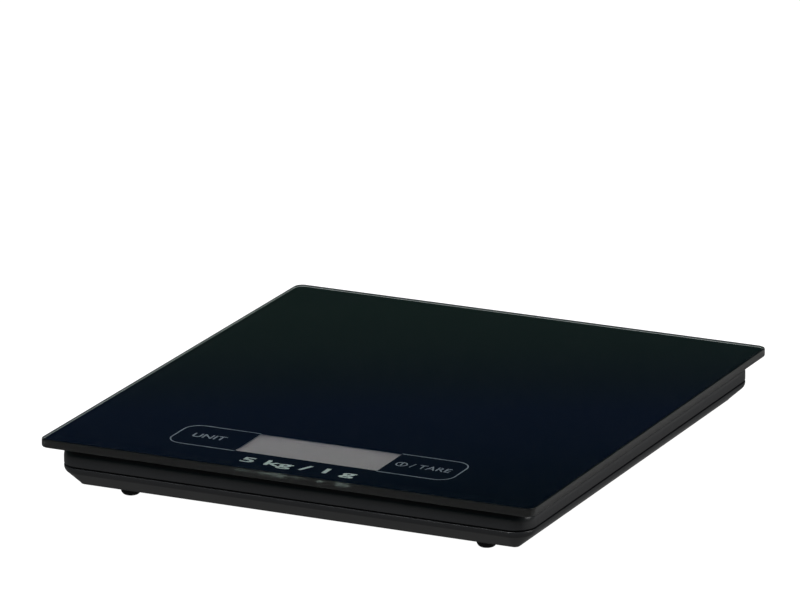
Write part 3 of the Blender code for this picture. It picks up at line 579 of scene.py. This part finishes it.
# Display frame and connector: the display is clipped in a white ABS frame, and a zebra strip of
# layered conductive and plain silicone joins it to the board.
white_abs = moulded_plastic("moulded_white_abs", ("#d8d7d2", "#cfcec8"), grain=0.0004,
                            depth=0.00001, low_roughness=0.35, high_roughness=0.5)
finish_node(white_abs, "lcd_frame", "wire_connector")
zebra, tree = blank_material("zebra_silicone")
place = add(tree, "ShaderNodeTexCoord")
layer_pitch = 0.0004
layers = add(tree, "ShaderNodeTexWave", {"Scale": 1 / layer_pitch / 3.14159, "bands_direction": "X"},
             {"Vector": place.outputs["Object"]})
tint = add(tree, "ShaderNodeMixRGB", {"Color1": linear("#2a2422"), "Color2": linear("#d9a79c")},
           {"Fac": layers.outputs["Fac"]})
surface(tree, add(tree, "ShaderNodeBsdfPrincipled", {"Roughness": 0.6},
                  {"Base Color": tint.outputs["Color"]}))
finish_node(zebra, "zebra_strip")

# Circuit board: glass-fibre laminate under a green solder mask, with copper tracks that show
# through it as paler lines.
solder_mask, tree = blank_material("green_solder_mask")
place = add(tree, "ShaderNodeTexCoord")
tracks = add(tree, "ShaderNodeTexBrick", {"Scale": 1 / 0.012, "Mortar Size": 0.03, "Brick Width": 0.6,
                                          "Row Height": 0.12, "Color1": linear("#0d4a23"),
                                          "Color2": linear("#0b4220"), "Mortar": linear("#1f7a3f")},
             {"Vector": place.outputs["Object"]})
surface(tree, add(tree, "ShaderNodeBsdfPrincipled", {"Roughness": 0.3},
                  {"Base Color": tracks.outputs["Color"]}))
finish_node(solder_mask, "main_pcb")

# Chips: moulded or dropped black epoxy.
epoxy, tree = blank_material("black_epoxy")
*_, bump = skin_bump(tree, 0.0003, 0.00001)
surface(tree, add(tree, "ShaderNodeBsdfPrincipled", {"Base Color": linear("#121212"), "Roughness": 0.35},
                  {"Normal": bump.outputs["Normal"]}))
finish_node(epoxy, "controller_chip", "weighing_chip")


# Steel parts: the bracket and screws are bright zinc plated over rolled or headed steel; the
# springs, the battery's case and its contacts are nickel plated.
def plated_metal(name, dark, light, grain, roughness):
    """Plated metal: nearly even, with a faint cloudiness that varies its colour and its shine."""
    material, tree = blank_material(name)
    _, noise, bump = skin_bump(tree, grain, 0.000004)
    tint = add(tree, "ShaderNodeMixRGB", {"Color1": linear(dark), "Color2": linear(light)},
               {"Fac": noise.outputs["Fac"]})
    shine = add(tree, "ShaderNodeMapRange", {"To Min": roughness - 0.06, "To Max": roughness + 0.06},
                {"Value": noise.outputs["Fac"]})
    surface(tree, add(tree, "ShaderNodeBsdfPrincipled", {"Metallic": 1.0}, {
        "Base Color": tint.outputs["Color"], "Roughness": shine.outputs["Result"],
        "Normal": bump.outputs["Normal"]}))
    return material


zinc = plated_metal("bright_zinc_plated_steel", "#b4b7bb", "#c6c9cc", 0.0012, 0.32)
nickel = plated_metal("nickel_plated_steel", "#bdb9ae", "#cbc8bf", 0.0010, 0.24)
finish_node(zinc, "platform_bracket", "bracket_spacer", "platform_screw_outer", "platform_screw_inner",
            *(f"{kind}_screw_{end}_{side}" for kind in ("bracket", "pcb") for end in ("front", "back")
              for side in ("left", "right")))
finish_node(nickel, "coin_cell", "contact_positive", "contact_negative", "touch_spring_unit",
            "touch_spring_tare")

# Load cell: a bar of extruded aluminium alloy, milled and clear anodised, with white silicone
# potted over its strain gauges.
cell_metal, tree = blank_material("clear_anodised_aluminium")
place = add(tree, "ShaderNodeTexCoord")
stretch = add(tree, "ShaderNodeMapping", {"Scale": (30.0, 1500.0, 1500.0)},
              {"Vector": place.outputs["Object"]})
lines = add(tree, "ShaderNodeTexNoise", {"Scale": 1.0, "Detail": 3.0},
            {"Vector": stretch.outputs["Vector"]})
shine = add(tree, "ShaderNodeMapRange", {"To Min": 0.28, "To Max": 0.45}, {"Value": lines.outputs["Fac"]})
tint = add(tree, "ShaderNodeMixRGB", {"Color1": linear("#c2c3c5"), "Color2": linear("#d3d4d6")},
           {"Fac": lines.outputs["Fac"]})
surface(tree, add(tree, "ShaderNodeBsdfPrincipled", {"Metallic": 1.0}, {
    "Base Color": tint.outputs["Color"], "Roughness": shine.outputs["Result"]}))
finish_node(cell_metal, "load_cell")
silicone, tree = blank_material("white_potting_silicone")
*_, bump = skin_bump(tree, 0.0015, 0.00004)
surface(tree, add(tree, "ShaderNodeBsdfPrincipled", {"Base Color": linear("#dddcd6"), "Roughness": 0.5},
                  {"Normal": bump.outputs["Normal"]}))
finish_node(silicone, "gauge_coating")


# Wires: stranded copper in vinyl sheaths, red and black from the battery, grey from the load cell.
def vinyl(name, hex_colour):
    material, tree = blank_material(name)
    *_, bump = skin_bump(tree, 0.0008, 0.00001)
    surface(tree, add(tree, "ShaderNodeBsdfPrincipled", {
        "Base Color": linear(hex_colour), "Roughness": 0.4}, {"Normal": bump.outputs["Normal"]}))
    return material


finish_node(vinyl("red_vinyl_sheath", "#a01818"), "battery_lead_positive")
finish_node(vinyl("black_vinyl_sheath", "#161616"), "battery_lead_negative")
finish_node(vinyl("grey_vinyl_sheath", "#6c6c6e"), "load_cell_cable")

# Foam tape: black closed-cell polyethylene, full of fine pores.
foam, tree = blank_material("closed_cell_foam")
place = add(tree, "ShaderNodeTexCoord")
pores = add(tree, "ShaderNodeTexVoronoi", {"Scale": 1 / 0.0005}, {"Vector": place.outputs["Object"]})
bump = add(tree, "ShaderNodeBump", {"Strength": 0.8, "Distance": 0.0001},
           {"Height": pores.outputs["Distance"]})
surface(tree, add(tree, "ShaderNodeBsdfPrincipled", {"Base Color": linear("#1b1b1b"), "Roughness": 0.9},
                  {"Normal": bump.outputs["Normal"]}))
finish_node(foam, "tape_frame")

# Battery door: black ABS like the base, hinged on its back edge, with moulded grip grooves by
# the catch at the front.
groove_pitch = 0.0016
groove_depth = 0.0004
groove_length = 0.0120
groove_width = 0.0007
first_groove = 0.0030
catch_length = 0.0060
catch_width = 0.0012
joint_depth = 0.0003
door_top = door_low.z + door_thickness
door = rounded_block(door_middle, door_high.x - door_low.x, door_high.y - door_low.y, door_low.z,
                     door_top, 0.0008, 4)
soften(door, door_low.z, 0.0002, 2)
steps = [("UNION", rounded_block((door_middle[0], door_low.y + catch_width / 2), catch_length,
                                 catch_width, door_top - joint_depth, door_high.z, 0.0002, 2))]
for number in range(5):
    groove_y = door_low.y + first_groove + number * groove_pitch
    steps.append(("DIFFERENCE", rounded_block((door_middle[0], groove_y), groove_length, groove_width,
                                              door_low.z - past, door_low.z + groove_depth,
                                              0.0003, 2)))
door = grown("battery_cover", carved(door, steps), "door", black_abs)
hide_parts("battery_door")

# Base screws: cross-recessed pan heads in counterbores, zinc plated.
head_height = 0.0012
head_overlap = 0.0002
head_round = 0.0004
shank_radius = 0.0015
recess_length = 0.0032
recess_width = 0.0007
recess_depth = 0.0009
for name in ("outer", "inner"):
    low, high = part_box(f"base_screw_{name}")
    middle = ((low.x + high.x) / 2, (low.y + high.y) / 2)
    radius = (high.x - low.x) / 2
    head = round_block(middle, radius, low.z, low.z + head_height)
    soften(head, low.z, head_round, 3)
    steps = [("UNION", round_block(middle, shank_radius, low.z + head_height - head_overlap, high.z, 24))]
    for length, width in ((recess_length, recess_width), (recess_width, recess_length)):
        steps.append(("DIFFERENCE", rounded_block(middle, length, width, low.z - past,
                                                  low.z + recess_depth, 0.0001, 1)))
    screw = grown(f"base_fixing_{name}", carved(head, steps), "base", zinc)
    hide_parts(f"base_screw_{name}")

# Rating label: a blank silver polyester film in its recess.
film, tree = blank_material("silver_polyester_film")
*_, bump = skin_bump(tree, 0.0010, 0.000005)
surface(tree, add(tree, "ShaderNodeBsdfPrincipled", {
    "Base Color": linear("#b9babc"), "Roughness": 0.4, "Metallic": 0.4},
    {"Normal": bump.outputs["Normal"]}))
finish_node(film, "rating_label")
